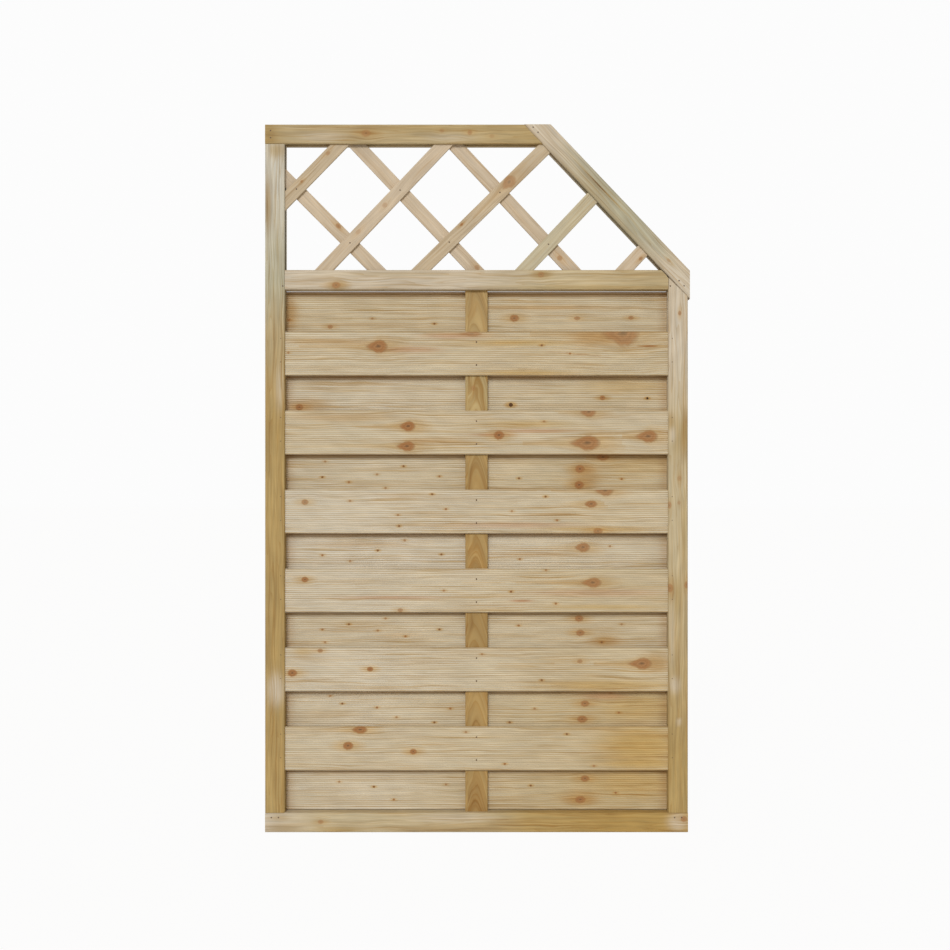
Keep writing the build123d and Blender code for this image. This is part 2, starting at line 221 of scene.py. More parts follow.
def mottle(along, across, seed):
    """Slow uneven darkening over a board: waves of seeded length, direction and phase, added up."""
    chance = np.random.default_rng(seed)
    total = np.zeros_like(along)
    for length in MOTTLE_WAVES:
        slant = chance.uniform(-MOTTLE_SLANT, MOTTLE_SLANT)
        phase = chance.uniform(0.0, 2 * np.pi)
        total += np.sin(2 * np.pi * (along + slant * across) / length + phase)
    return total / len(MOTTLE_WAVES)


def board(
    name,
    outline,
    origin,
    along_axis,
    across_axis,
    start,
    stop,
    material,
    tones,
    knots=(),
    patches=(),
    front_patches=(),
    grooves=(),
    spacing=9.0,
    arch=0.0,
    groove_painted_shade=0.0,
    seed=0,
):
    """One board: points at origin + along * s + across * b + backward * y, for s in steps.

    start and stop give s at the board's ends as functions of b; within CUT_REACH of an end, s is slid
    towards its cut. Grooves are (depth, from s, to s), in the order of the outline's groove numbers.
    Tones are (s, colour) stops. Patches are (s, b, s reach, b reach, colour, strength) and go through
    the board, and front_patches leave its back half alone.
    Knots are (s, b, s radius, b radius, strength), with a strength over 1 for a dark dead knot. A face
    belongs to its nearest knot, a large knot draws out into a point along the grain, and each knot
    narrows with depth and ends at KNOT_REACH times its radius behind the front face.
    Where arch is more than 0 the grain lines rise by arch * |b| ** 1.5 from the middle outwards, as on
    a board sawn near the outside of the log. Points sunk into a face are painted darker and warmer by the
    groove factor given: painted shade standing in for the dim, warm light inside the grooves.
    """
    across, through, floor = outline
    low, high = float(start(np.zeros(1))[0]), float(stop(np.zeros(1))[0])
    reach = min(CUT_REACH, 0.45 * (high - low))
    marks = [np.linspace(low, high, max(int((high - low) / spacing), 4) + 1)]
    for _, groove_from, groove_to in grooves:
        for mark in (groove_from, groove_to):
            if low + 1.0 < mark < high - 1.0:
                marks.append(np.array((mark - GROOVE_STEP, mark + GROOVE_STEP)))
    steps = np.unique(np.round(np.concatenate(marks), 3))
    steps = steps[np.concatenate(([True], np.diff(steps) > GROOVE_STEP / 2))]

    b = np.tile(across, (len(steps), 1))
    y = np.tile(through, (len(steps), 1))
    for number, (depth, groove_from, groove_to) in enumerate(grooves):
        inside = ((steps > groove_from) & (steps < groove_to))[:, None] & (floor == number)[None, :]
        b = np.where(inside, b - np.sign(b) * depth, b)
    near_start = np.clip((low + reach - steps) / reach, 0.0, 1.0)[:, None]
    near_stop = np.clip((steps - high + reach) / reach, 0.0, 1.0)[:, None]
    s = steps[:, None] + near_start * (start(b) - low) + near_stop * (stop(b) - high)

    points = origin + s[..., None] * along_axis + b[..., None] * across_axis + y[..., None] * BACKWARD
    rows, columns = s.shape
    number = np.arange(rows * columns).reshape(rows, columns)
    beside = np.roll(number, -1, axis=1)
    quads = np.stack((number[:-1], beside[:-1], beside[1:], number[1:]), axis=-1).reshape(-1, 4)
    if np.dot(np.cross(along_axis, across_axis), BACKWARD) < 0:
        quads = quads[:, ::-1]
        first_cap, last_cap = number[0], number[-1][::-1]
    else:
        first_cap, last_cap = number[0][::-1], number[-1]

    mesh = bpy.data.meshes.new(name)
    faces = quads.tolist() + [first_cap.tolist(), last_cap.tolist()]
    mesh.from_pydata((points.reshape(-1, 3) * METRE).tolist(), [], faces)

    girth = np.concatenate(([0.0], np.cumsum(np.hypot(np.diff(across), np.diff(through)))))
    closing = girth[-1] + np.hypot(across[0] - across[-1], through[0] - through[-1])
    corner_vertex = np.concatenate((quads.ravel(), first_cap, last_cap))
    corner_s = s.ravel()[corner_vertex]
    corner_b = b.ravel()[corner_vertex]
    corner_y = y.ravel()[corner_vertex]
    corner_girth = np.tile(girth, rows)[corner_vertex]
    column = corner_vertex % columns
    side_count = quads.size
    wraps = (column[:side_count].reshape(-1, 4) == columns - 1).any(axis=1)
    at_seam = np.repeat(wraps, 4) & (column[:side_count] == 0)
    corner_girth[:side_count][at_seam] = closing

    face_of = np.concatenate((np.repeat(np.arange(len(quads)), 4), np.full(2 * columns, len(quads))))
    face_size = np.bincount(face_of)
    face_s = np.bincount(face_of, corner_s) / face_size
    face_b = np.bincount(face_of, corner_b) / face_size
    corner_depth = corner_y - through.min()
    face_depth = np.bincount(face_of, corner_depth) / face_size
    warp = np.zeros_like(corner_s)
    nearest = np.full(len(face_size), FAR_KNOT)
    local = np.full((len(corner_s), 3), NO_KNOT)
    for knot_s, knot_b, radius_s, radius_b, strength in knots:
        away = np.hypot((face_s - knot_s) / radius_s, (face_b - knot_b) / radius_b)
        closer = (away < nearest) & (face_depth < KNOT_REACH * radius_b)
        nearest[closer] = away[closer]
        ds, db = (corner_s - knot_s) / radius_s, (corner_b - knot_b) / radius_b
        warp -= radius_b * db / (1.0 + db * db) * np.exp(-((ds / KNOT_PULL) ** 2))
        tail = smooth_step(*TAILED_KNOT, radius_s) * np.maximum(-ds, 0.0)
        db = db * (1.0 + 0.6 * tail)
        ds = np.where(ds < 0.0, ds / (1.0 + 0.3 * tail), ds)
        ds = ds * (1.0 + (corner_depth / (KNOT_REACH * radius_b)) ** 2)
        own = closer[face_of]
        local[own] = np.stack((ds, db, np.full_like(ds, strength)), axis=-1)[own]

    stops = np.array([place for place, _ in tones])
    colours = np.array([from_screen(*colour) for _, colour in tones])
    tint = np.stack([np.interp(corner_s, stops, colours[:, channel]) for channel in range(3)], axis=-1)
    on_front = corner_depth < (through.max() - through.min()) / 2
    covers = [(patch, 1.0) for patch in patches]
    covers += [(patch, on_front) for patch in front_patches]
    for (place_s, place_b, reach_s, reach_b, colour, strength), cover in covers:
        spread = ((corner_s - place_s) / reach_s) ** 2 + ((corner_b - place_b) / reach_b) ** 2
        share = (cover * strength * np.exp(-(spread**1.5)))[:, None]
        tint = tint * (1.0 - share) + from_screen(*colour) * share
    tint *= (1.0 + MOTTLE_DEPTH * mottle(corner_s, corner_b, seed))[:, None]
    # Painted shade: points sunk into the rib grooves are darkened, least in red, for the dim, warm light
    # inside them
    sunk = np.clip(corner_depth / RIB_DEPTH, 0.0, 1.0) * (corner_depth < 1.5 * RIB_DEPTH)
    tint *= 1.0 - groove_painted_shade * sunk[:, None] * GROOVE_PAINTED_SHADE
    tint[side_count:] *= END_GRAIN_SHADE

    if arch:
        arched = arch * np.abs(corner_b) ** 1.5 + 0.1 * corner_s
        grain = np.stack((corner_s + 2.0 * corner_girth, arched + warp), axis=-1)
    else:
        grain = np.stack((corner_s, corner_girth + warp), axis=-1)
    grain[side_count:] = np.stack((corner_b[side_count:] * 3.0, corner_y[side_count:]), axis=-1)
    grain = (grain + seed * SEED_SHIFT) * METRE
    layer = mesh.uv_layers.new(name="grain")
    layer.data.foreach_set("uv", grain.astype(np.float32).ravel())
    for title, values in (("knot", local), ("tint", tint)):
        attribute = mesh.attributes.new(title, "FLOAT_VECTOR", "CORNER")
        attribute.data.foreach_set("vector", values.astype(np.float32).ravel())
    mesh.polygons.foreach_set("use_smooth", np.ones(len(mesh.polygons), dtype=bool))
    mesh.set_sharp_from_angle(angle=SHARP_EDGE)
    mesh.materials.append(material)
    mesh.validate()
    piece = bpy.data.objects.new(name, mesh)
    scene.collection.objects.link(piece)
    return piece


def fit(piece, slot, *nodes):
    """Puts a finished piece in the place of its construction nodes."""
    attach(piece, "root")
    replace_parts(piece, *nodes)


def at(value):
    """A square cut: the same s right across the board."""
    return lambda b: np.full_like(b, value)


def add_node(tree, kind, inputs=(), **settings):
    """A shader node with its settings; inputs are (socket, constant or output socket) pairs."""
    made = tree.nodes.new(kind)
    for key, value in settings.items():
        setattr(made, key, value)
    for socket, value in inputs:
        if isinstance(value, bpy.types.NodeSocket):
            tree.links.new(value, made.inputs[socket])
        else:
            made.inputs[socket].default_value = value
    return made


def calculate(tree, operation, first, second):
    """One Math node's result."""
    return add_node(tree, "ShaderNodeMath", ((0, first), (1, second)), operation=operation).outputs[0]


def rescale(tree, value, low, high, to_low, to_high):
    """A value that goes evenly from to_low at low to to_high at high and stays there beyond."""
    limits = (("From Min", low), ("From Max", high), ("To Min", to_low), ("To Max", to_high))
    return add_node(tree, "ShaderNodeMapRange", (("Value", value), *limits)).outputs[0]


def mix_colours(tree, share, first, second, blend_type="MIX"):
    """Two colours mixed by a share."""
    inputs = (("Factor", share), ("A", first), ("B", second))
    return add_node(tree, "ShaderNodeMix", inputs, data_type="RGBA", blend_type=blend_type).outputs[2]


# Timber looks: colours in linear light, lengths along the grain map in metres
DRIFT_SCALE = (7.0, 30.0, 1.0)
DRIFT_WIDTH = 0.014
RING_WANDER = 9.0
FINE_SHADE = (0.955, 1.035)
WARM_STREAK = (0.7, 0.53, 0.3, 1.0)
LATE_WOOD = (0.82, 0.7, 0.52, 1.0)
KNOT_HALO = (0.88, 0.7, 0.44, 1.0)
HALO_STRETCH = (0.36, 0.75, 0.0)
KNOT_COLOURS = (
    (0.0, (0.13, 0.065, 0.025, 1.0)),
    (0.1, (0.24, 0.11, 0.04, 1.0)),
    (0.2, (0.4, 0.19, 0.07, 1.0)),
    (0.28, (0.31, 0.135, 0.045, 1.0)),
    (0.38, (0.39, 0.18, 0.062, 1.0)),
    (0.47, (0.3, 0.135, 0.042, 1.0)),
)
DEAD_KNOT_SHADE = 0.1


def timber_material(name, streak_depth, warm_depth, ring_depth, ring_width, roughness, grain_height):
    """Planed softwood: streaks and growth rings along the grain, knots, over the board's own tint.

    Streaks and rings are noise and bands read from the grain map, so that they bend round the knots.
    Knots read their own coordinates, in which each knot is a circle of radius 1.
    """
    material = bpy.data.materials.new(name)
    material.use_nodes = True
    tree = material.node_tree
    tree.nodes.clear()
    grain = add_node(tree, "ShaderNodeUVMap", uv_map="grain").outputs["UV"]
    tint = add_node(tree, "ShaderNodeAttribute", attribute_name="tint").outputs["Vector"]
    knot = add_node(tree, "ShaderNodeAttribute", attribute_name="knot").outputs["Vector"]

    drift_map = add_node(tree, "ShaderNodeMapping", (("Vector", grain), ("Scale", DRIFT_SCALE)))
    drift = add_node(
        tree, "ShaderNodeTexNoise", (("Vector", drift_map.outputs[0]), ("Scale", 1.0), ("Detail", 1.0))
    ).outputs["Fac"]
    drift = calculate(tree, "MULTIPLY", calculate(tree, "SUBTRACT", drift, 0.5), DRIFT_WIDTH)
    shift = add_node(tree, "ShaderNodeCombineXYZ", (("X", 0.0), ("Y", drift), ("Z", 0.0))).outputs[0]
    grain = add_node(tree, "ShaderNodeVectorMath", ((0, grain), (1, shift)), operation="ADD").outputs[0]

    def streaks(length, width, detail):
        scale = (1.0 / length, 1.0 / width, 1.0)
        scaled = add_node(tree, "ShaderNodeMapping", (("Vector", grain), ("Scale", scale)))
        noise = add_node(
            tree,
            "ShaderNodeTexNoise",
            (("Vector", scaled.outputs[0]), ("Scale", 1.0), ("Detail", detail), ("Roughness", 0.6)),
        )
        return noise.outputs["Fac"]

    broad = streaks(0.16, 0.007, 3.0)
    fine = streaks(0.05, 0.0016, 2.0)
    slow = streaks(0.5, 0.03, 2.0)
    warm = streaks(0.3, 0.0042, 2.0)
    cluster = streaks(0.36, 0.024, 1.0)

    parts = add_node(tree, "ShaderNodeSeparateXYZ", (("Vector", grain),))
    wander = calculate(tree, "MULTIPLY", slow, RING_WANDER)
    rings = calculate(tree, "MULTIPLY", parts.outputs["Y"], 1.0 / ring_width)
    band = calculate(tree, "FRACT", calculate(tree, "ADD", rings, wander), 0.0)
    late_wood = rescale(tree, band, 0.35, 1.0, 0.0, 1.0)
    late_wood = calculate(tree, "MULTIPLY", late_wood, late_wood)

    shade = rescale(tree, broad, 0.3, 0.7, 1.0 - streak_depth, 1.0 + 0.6 * streak_depth)
    lightness = calculate(tree, "MULTIPLY", shade, rescale(tree, fine, 0.3, 0.7, *FINE_SHADE))
    streaked = add_node(
        tree, "ShaderNodeVectorMath", ((0, tint), ("Scale", lightness)), operation="SCALE"
    ).outputs[0]
    warm_share = rescale(tree, warm, 0.44, 0.66, 0.0, warm_depth)
    gathered = rescale(tree, cluster, 0.38, 0.62, 0.2, 1.0)
    warm_share = calculate(tree, "MULTIPLY", warm_share, gathered)
    warmed = mix_colours(tree, warm_share, streaked, WARM_STREAK, "MULTIPLY")
    ring_share = calculate(tree, "MULTIPLY", late_wood, ring_depth)
    ringed = mix_colours(tree, ring_share, warmed, LATE_WOOD, "MULTIPLY")

    knot_parts = add_node(tree, "ShaderNodeSeparateXYZ", (("Vector", knot),)).outputs
    knot_strength = knot_parts["Z"]
    flat_knot = add_node(
        tree, "ShaderNodeCombineXYZ", (("X", knot_parts["X"]), ("Y", knot_parts["Y"]), ("Z", 0.0))
    ).outputs[0]
    ragged = add_node(
        tree, "ShaderNodeTexNoise", (("Vector", flat_knot), ("Scale", 2.2), ("Detail", 3.0))
    ).outputs["Fac"]
    ragged = calculate(tree, "MULTIPLY", calculate(tree, "SUBTRACT", ragged, 0.5), 0.6)
    distance = add_node(tree, "ShaderNodeVectorMath", ((0, flat_knot),), operation="LENGTH")
    radius = calculate(tree, "ADD", distance.outputs["Value"], ragged)
    ramp = add_node(tree, "ShaderNodeValToRGB", (("Fac", calculate(tree, "MULTIPLY", radius, 0.5)),))
    elements = ramp.color_ramp.elements
    for place, _ in KNOT_COLOURS[1:-1]:
        elements.new(place)
    for element, (place, colour) in zip(elements, KNOT_COLOURS):
        element.position = place
        element.color = colour
    dead = rescale(tree, knot_strength, 1.0, 2.0, 1.0, DEAD_KNOT_SHADE)
    knot_colour = add_node(
        tree, "ShaderNodeVectorMath", ((0, ramp.outputs["Color"]), ("Scale", dead)), operation="SCALE"
    ).outputs[0]

    long_knot = add_node(
        tree, "ShaderNodeVectorMath", ((0, flat_knot), (1, HALO_STRETCH)), operation="MULTIPLY"
    ).outputs[0]
    halo = add_node(tree, "ShaderNodeVectorMath", ((0, long_knot),), operation="LENGTH").outputs["Value"]
    halo = rescale(tree, calculate(tree, "ADD", halo, ragged), 0.5, 1.5, 0.8, 0.0)
    halo_share = calculate(tree, "MULTIPLY", halo, knot_strength)
    haloed = mix_colours(tree, halo_share, ringed, KNOT_HALO, "MULTIPLY")
    cover = rescale(tree, radius, 0.8, 1.15, 1.0, 0.0)
    wood = mix_colours(tree, calculate(tree, "MULTIPLY", cover, knot_strength), haloed, knot_colour)

    relief = calculate(tree, "ADD", fine, calculate(tree, "MULTIPLY", broad, 0.6))
    bump = add_node(
        tree, "ShaderNodeBump", (("Strength", 0.6), ("Distance", grain_height), ("Height", relief))
    ).outputs[0]
    gloss = rescale(tree, broad, 0.0, 1.0, roughness - 0.1, roughness + 0.12)
    surface = add_node(
        tree,
        "ShaderNodeBsdfPrincipled",
        (("Base Color", wood), ("Roughness", gloss), ("Normal", bump), ("Specular IOR Level", 0.25)),
    )
    output = add_node(tree, "ShaderNodeOutputMaterial")
    tree.links.new(surface.outputs[0], output.inputs["Surface"])
    return material


slat_timber = timber_material(
    "grooved slat timber",
    streak_depth=0.12,
    warm_depth=0.9,
    ring_depth=0.25,
    ring_width=0.011,
    roughness=0.72,
    grain_height=0.0002,
)
frame_timber = timber_material(
    "planed frame timber",
    streak_depth=0.2,
    warm_depth=0.7,
    ring_depth=0.6,
    ring_width=0.009,
    roughness=0.66,
    grain_height=0.0005,
)
batten_timber = timber_material(
    "sawn batten timber",
    streak_depth=0.2,
    warm_depth=0.9,
    ring_depth=0.75,
    ring_width=0.0042,
    roughness=0.7,
    grain_height=0.0004,
)
lath_timber = timber_material(
    "planed lath timber",
    streak_depth=0.14,
    warm_depth=0.5,
    ring_depth=0.4,
    ring_width=0.008,
    roughness=0.7,
    grain_height=0.0004,
)

# Frame, each timber with its tones along the length, knots and stains
OUTLINE_STEP = 4.0
SLAT_GROOVE_WIDTH = SLAT_THICKNESS + GROOVE_CLEARANCE
FRONT_SLAT_GROOVE = (-SLAT_LAYER, SLAT_GROOVE_WIDTH)
BACK_SLAT_GROOVE = (SLAT_LAYER, SLAT_GROOVE_WIDTH)
LATTICE_GROOVE = (-SLAT_LAYER + LATH_THICKNESS / 2, 2 * LATH_THICKNESS + GROOVE_CLEARANCE)

# On the left stile the lattice groove is the front slat groove and this strip behind it
LATTICE_GROOVE_REST = (-4.5, 8.4)


def frame_outline(*grooves, groove_side=1):
    """Outline of a frame timber with grooves along one of its sides."""
    return rounded_outline(FRAME_FACE, FRAME_DEPTH, FRAME_ARRIS, OUTLINE_STEP, grooves, groove_side)


SILVER_TIMBER = (207, 203, 189)
PALE_TIMBER = (207, 195, 174)
CREAM_TIMBER = (199, 184, 150)
SAND_TIMBER = (188, 169, 129)
STRAW_TIMBER = (180, 154, 100)
GOLD_TIMBER = (181, 151, 89)
BROWN_TIMBER = (162, 134, 84)
GREEN_TIMBER = (184, 179, 154)

left_stile = board(
    "left_stile",
    frame_outline(FRONT_SLAT_GROOVE, LATTICE_GROOVE_REST, BACK_SLAT_GROOVE),
    np.array((LEFT + FRAME_FACE / 2, 0.0, 0.0)),
    UPWARD,
    RIGHTWARD,
    at(FRAME_FACE),
    at(TOP_RAIL_UNDER),
    frame_timber,
    (
        (FRAME_FACE, STRAW_TIMBER),
        (1060, STRAW_TIMBER),
        (1270, SAND_TIMBER),
        (1400, GREEN_TIMBER),
        (1640, SILVER_TIMBER),
    ),
    grooves=(
        (GROOVE_DEPTH, 0.0, TOP_RAIL_UNDER + 1),
        (GROOVE_DEPTH, MID_RAIL_TOP, TOP_RAIL_UNDER + 1),
        (GROOVE_DEPTH, 0.0, MID_RAIL_UNDER),
    ),
    patches=(
        (362, 2, 42, 22, PALE_TIMBER, 0.9),
        (1595, -17, 75, 9, BROWN_TIMBER, 0.75),
        (1735, 4, 22, 22, STRAW_TIMBER, 0.7),
        (1480, 8, 35, 14, GREEN_TIMBER, 0.6),
        (1050, -17, 140, 8, BROWN_TIMBER, 0.6),
        (470, -18, 70, 9, BROWN_TIMBER, 0.6),
        (620, 8, 110, 12, STRAW_TIMBER, 0.6),
        (1130, 12, 60, 10, PALE_TIMBER, 0.5),
        (200, 14, 120, 9, BROWN_TIMBER, 0.2),
    ),
    seed=1,
)
fit(left_stile, "frame_wood", "left_stile")

right_stile = board(
    "right_stile",
    frame_outline(FRONT_SLAT_GROOVE, BACK_SLAT_GROOVE, groove_side=-1),
    np.array((RIGHT - FRAME_FACE / 2, 0.0, 0.0)),
    UPWARD,
    RIGHTWARD,
    at(FRAME_FACE),
    lambda b: slope_z(
        RIGHT - FRAME_FACE / 2 + b, FRAME_FACE + SLOPE_GAP * (FRAME_FACE / 2 - b) / FRAME_FACE
    ),
    frame_timber,
    (
        (210, STRAW_TIMBER),
        (500, SAND_TIMBER),
        (740, CREAM_TIMBER),
        (1000, CREAM_TIMBER),
        (1230, PALE_TIMBER),
    ),
    knots=(
        (832, -22, 9, 5, 0.6),
        (621, -21, 11, 8, 0.7),
        (629, 21, 9, 5, 0.7),
        (1320, 4, 6, 4, 0.7),
        (900, 3, 7, 5, 0.4),
        (838, 2, 5, 4, 0.35),
    ),
    patches=(
        (1010, 17, 60, 10, BROWN_TIMBER, 0.85),
        (1045, -18, 24, 8, BROWN_TIMBER, 0.7),
        (1010, 0, 60, 20, STRAW_TIMBER, 0.5),
        (1010, -14, 20, 8, PALE_TIMBER, 0.7),
        (375, -8, 22, 14, PALE_TIMBER, 0.8),
        (281, 2, 7, 7, PALE_TIMBER, 0.8),
        (600, 0, 50, 12, STRAW_TIMBER, 0.6),
        (760, 16, 110, 8, STRAW_TIMBER, 0.6),
        (500, -16, 90, 8, PALE_TIMBER, 0.4),
    ),
    grooves=((GROOVE_DEPTH, 0.0, MID_RAIL_UNDER), (GROOVE_DEPTH, 0.0, MID_RAIL_UNDER)),
    seed=2,
)
fit(right_stile, "frame_wood", "right_stile")

bottom_rail = board(
    "bottom_rail",
    frame_outline(),
    np.array((0.0, 0.0, FRAME_FACE / 2)),
    RIGHTWARD,
    UPWARD,
    at(LEFT),
    at(RIGHT),
    frame_timber,
    (
        (LEFT, PALE_TIMBER),
        (-400, CREAM_TIMBER),
        (-60, CREAM_TIMBER),
        (40, SAND_TIMBER),
        (130, STRAW_TIMBER),
        (330, GOLD_TIMBER),
    ),
    knots=((-396, 2, 7, 5, 0.6), (527, 9, 8, 7, 0.7)),
    patches=(
        (512, 2, 26, 24, PALE_TIMBER, 0.8),
        (-490, -14, 50, 10, BROWN_TIMBER, 0.6),
        (-350, -18, 60, 7, STRAW_TIMBER, 0.7),
        (-60, -14, 190, 11, BROWN_TIMBER, 0.55),
        (-500, 12, 24, 10, BROWN_TIMBER, 0.4),
        (-60, 12, 110, 11, PALE_TIMBER, 0.6),
    ),
    seed=3,
)
fit(bottom_rail, "frame_wood", "bottom_rail")

top_rail = board(
    "top_rail",
    frame_outline(LATTICE_GROOVE, groove_side=-1),
    np.array((0.0, 0.0, PANEL_HEIGHT - FRAME_FACE / 2)),
    RIGHTWARD,
    UPWARD,
    at(LEFT),
    lambda b: slope_x(PANEL_HEIGHT - FRAME_FACE / 2 + b, FRAME_FACE),
    frame_timber,
    ((LEFT, STRAW_TIMBER), (-480, SAND_TIMBER), (-60, SAND_TIMBER), (240, STRAW_TIMBER)),
    knots=((-281, 2, 12, 9, 0.55), (-88, 9, 6, 5, 0.4), (-17, 4, 6, 6, 0.55), (39, -5, 6, 5, 0.3)),
    patches=(
        (-524, -4, 14, 24, BROWN_TIMBER, 0.7),
        (-281, 4, 40, 16, BROWN_TIMBER, 0.4),
        (-100, 14, 200, 9, STRAW_TIMBER, 0.6),
        (-390, -6, 60, 13, PALE_TIMBER, 0.6),
        (-70, -9, 60, 11, PALE_TIMBER, 0.4),
    ),
    grooves=((GROOVE_DEPTH, INNER_LEFT, RIGHT),),
    seed=4,
)
fit(top_rail, "frame_wood", "top_rail")

mid_rail = board(
    "mid_rail",
    frame_outline(LATTICE_GROOVE),
    np.array((0.0, 0.0, MID_RAIL_TOP - FRAME_FACE / 2)),
    RIGHTWARD,
    UPWARD,
    at(INNER_LEFT),
    lambda b: np.minimum(
        INNER_RIGHT, slope_x(MID_RAIL_TOP - FRAME_FACE / 2 + b, FRAME_FACE + SLOPE_GAP)
    ),
    frame_timber,
    ((-50, PALE_TIMBER), (190, CREAM_TIMBER), (INNER_RIGHT, SAND_TIMBER)),
    knots=((-357, -14, 11, 8, 0.7), (164, 13, 8, 7, 0.5)),
    patches=(
        (-350, -14, 26, 16, STRAW_TIMBER, 0.6),
        (270, -19, 260, 6, STRAW_TIMBER, 0.6),
        (165, 14, 30, 12, STRAW_TIMBER, 0.6),
        (-200, 14, 180, 7, STRAW_TIMBER, 0.4),
    ),
    grooves=((GROOVE_DEPTH, LEFT, RIGHT),),
    seed=5,
)
fit(mid_rail, "frame_wood", "mid_rail")

slope_along = np.array((np.cos(SLOPE_ANGLE), 0.0, -np.sin(SLOPE_ANGLE)))
slope_out = np.array((np.sin(SLOPE_ANGLE), 0.0, np.cos(SLOPE_ANGLE)))
slope_head = np.array((RIGHT - SLOPE_RUN, 0.0, PANEL_HEIGHT)) - slope_out * FRAME_FACE / 2
slope_foot_s = (SLOPE_RUN + SLOPE_OVERHANG) / np.cos(SLOPE_ANGLE)
lattice_start = (PANEL_HEIGHT - TOP_RAIL_UNDER - GROOVE_DEPTH) / np.sin(SLOPE_ANGLE)
lattice_stop = (LATTICE_HEIGHT - FRAME_FACE * np.cos(SLOPE_ANGLE)) / np.sin(SLOPE_ANGLE)
sloped_rail = board(
    "sloped_rail",
    frame_outline(LATTICE_GROOVE, groove_side=-1),
    slope_head,
    slope_along,
    slope_out,
    lambda b: (b - FRAME_FACE / 2) / np.tan(SLOPE_ANGLE),
    lambda b: slope_foot_s + (FRAME_FACE / 2 - b) * np.tan(SLOPE_ANGLE),
    frame_timber,
    ((40, PALE_TIMBER), (190, GREEN_TIMBER), (340, GREEN_TIMBER), (470, PALE_TIMBER)),
    knots=((457, 3, 6, 4, 0.35), (190, 6, 30, 0.9, 1.8)),
    patches=(
        (240, -20, 230, 7, BROWN_TIMBER, 0.4),
        (195, -6, 55, 12, BROWN_TIMBER, 0.3),
        (370, 8, 110, 13, GREEN_TIMBER, 0.7),
        (130, 12, 80, 10, GREEN_TIMBER, 0.5),
    ),
    grooves=((GROOVE_DEPTH, lattice_start, lattice_stop),),
    seed=6,
)
fit(sloped_rail, "frame_wood", "sloped_rail")

BATTEN_LOW = (174, 144, 91)
BATTEN_PALE = (191, 168, 118)
BATTEN_HIGH = (181, 154, 104)
centre_batten = board(
    "centre_batten",
    rounded_outline(BATTEN_WIDTH, BATTEN_THICKNESS, SLAT_ARRIS, 5.0),
    np.array((0.0, 0.0, 0.0)),
    UPWARD,
    RIGHTWARD,
    at(FRAME_FACE - BATTEN_INSERT),
    at(MID_RAIL_UNDER + BATTEN_INSERT),
    batten_timber,
    ((713, BATTEN_LOW), (900, BATTEN_LOW), (1115, BATTEN_PALE), (1320, BATTEN_HIGH)),
    knots=((620, 10, 7, 5, 0.5), (1130, -8, 7, 5, 0.5)),
    arch=0.06,
    seed=7,
)
fit(centre_batten, "batten_wood", "centre_batten")

# Slats from the lowest up: pin knots as (along, up), larger knots with their two radii and strength.
# The kinds of pin knot, as two radii and a strength, take turns along a slat.
PIN_KNOTS = ((3.4, 2.8, 0.7), (3.0, 2.6, 1.3), (3.2, 2.7, 0.95))
FRONT_PINS = (
    ((-27, 42), (230, 37), (72, -39), (299, -44)),
    ((14, 39), (166, -27)),
    ((-83, 0), (88, -3), (202, -33), (177, 52)),
    ((-322, 27), (-113, 44), (-78, 6), (-200, -9), (-197, -37), (205, -22), (90, 1), (176, 38)),
    ((172, 28),),
    ((-479, 2), (166, 21), (238, 0)),
)
BACK_PINS = (
    ((-352, 11), (-263, -2), (-212, -35), (-78, 4), (139, 1), (357, -17)),
    ((-375, 30), (-344, 10), (-255, 0), (-205, -25), (-108, -38), (-67, -3), (149, -3), (85, -38),
     (365, -13), (344, 38)),
    ((-233, 27), (-327, 12), (-395, -1), (-253, -4), (-95, -1), (-182, -19), (-388, -34), (321, -34),
     (108, 9), (372, 12)),
    ((-184, 26), (-253, 0), (-395, -12), (-324, -27), (-90, -10), (111, -22), (342, 11)),
    ((-388, 27), (-395, -13), (-327, -26), (-255, -6), (-187, 15), (-95, -11), (-233, -41), (109, -16),
     (372, -18)),
    (),
    ((-267, -9), (-108, -22), (-480, -12)),
)
FRONT_KNOTS = (
    ((-296, 48, 17, 10, 0.95), (-327, 7, 13, 10, 0.95), (-161, -8, 9, 7, 0.95)),
    ((-469, -9, 12, 9, 0.95), (-271, 1, 8, 6, 0.95), (-398, 48, 7, 5, 0.72), (263, 21, 7, 5, 0.62),
     (421, 15, 24, 15, 0.85)),
    ((-437, 28, 9, 7, 0.95), (-194, -50, 7, 5, 0.62), (296, 20, 21, 13, 0.8)),
    ((-437, 24, 9, 7, 0.72), (292, 19, 15, 9, 0.87), (328, 53, 19, 14, 0.75), (309, -50, 12, 8, 0.72)),
    ((-174, 16, 17, 13, 0.97), (-177, -35, 19, 13, 0.93), (57, -7, 13, 11, 0.97),
     (282, -27, 31, 19, 0.85), (437, -10, 23, 16, 0.85), (286, 52, 17, 13, 0.8)),
    ((-250, 18, 22, 17, 0.9), (-12, 50, 24, 6, 0.6), (373, 52, 38, 34, 0.7), (438, 19, 22, 2.4, 0.9),
     (188, 5, 24, 0.9, 0.6), (226, 1.5, 24, 0.9, 0.7), (264, -2, 24, 0.9, 0.8), (302, -6, 24, 0.9, 0.7),
     (334, -10, 18, 0.9, 0.5)),
)
BACK_KNOTS = (
    ((278, 19, 11, 8, 0.87), (266, -35, 13, 9, 0.87)),
    ((278, 10, 11, 8, 0.82), (271, -30, 13, 9, 0.87)),
    ((263, 27, 11, 8, 0.87), (266, -10, 11, 8, 0.82)),
    ((273, 8, 17, 12, 0.8),),
    ((265, 8, 12, 10, 0.92), (263, -33, 12, 10, 0.97), (324, 38, 15, 9, 0.87)),
    ((-454, -35, 10, 8, 0.92), (323, -11, 7, 6, 0.92), (88, -29, 5, 5, 1.75), (438, -12, 2.8, 2.8, 1.95)),
    ((-375, -30, 7, 5, 0.72), (97, -8, 12, 9, 0.87), (258, -8, 8, 5, 0.72), (396, -7, 7, 5, 0.72)),
)
COOL_SLAT = (215, 208, 193)
WARM_SLAT = (201, 185, 149)
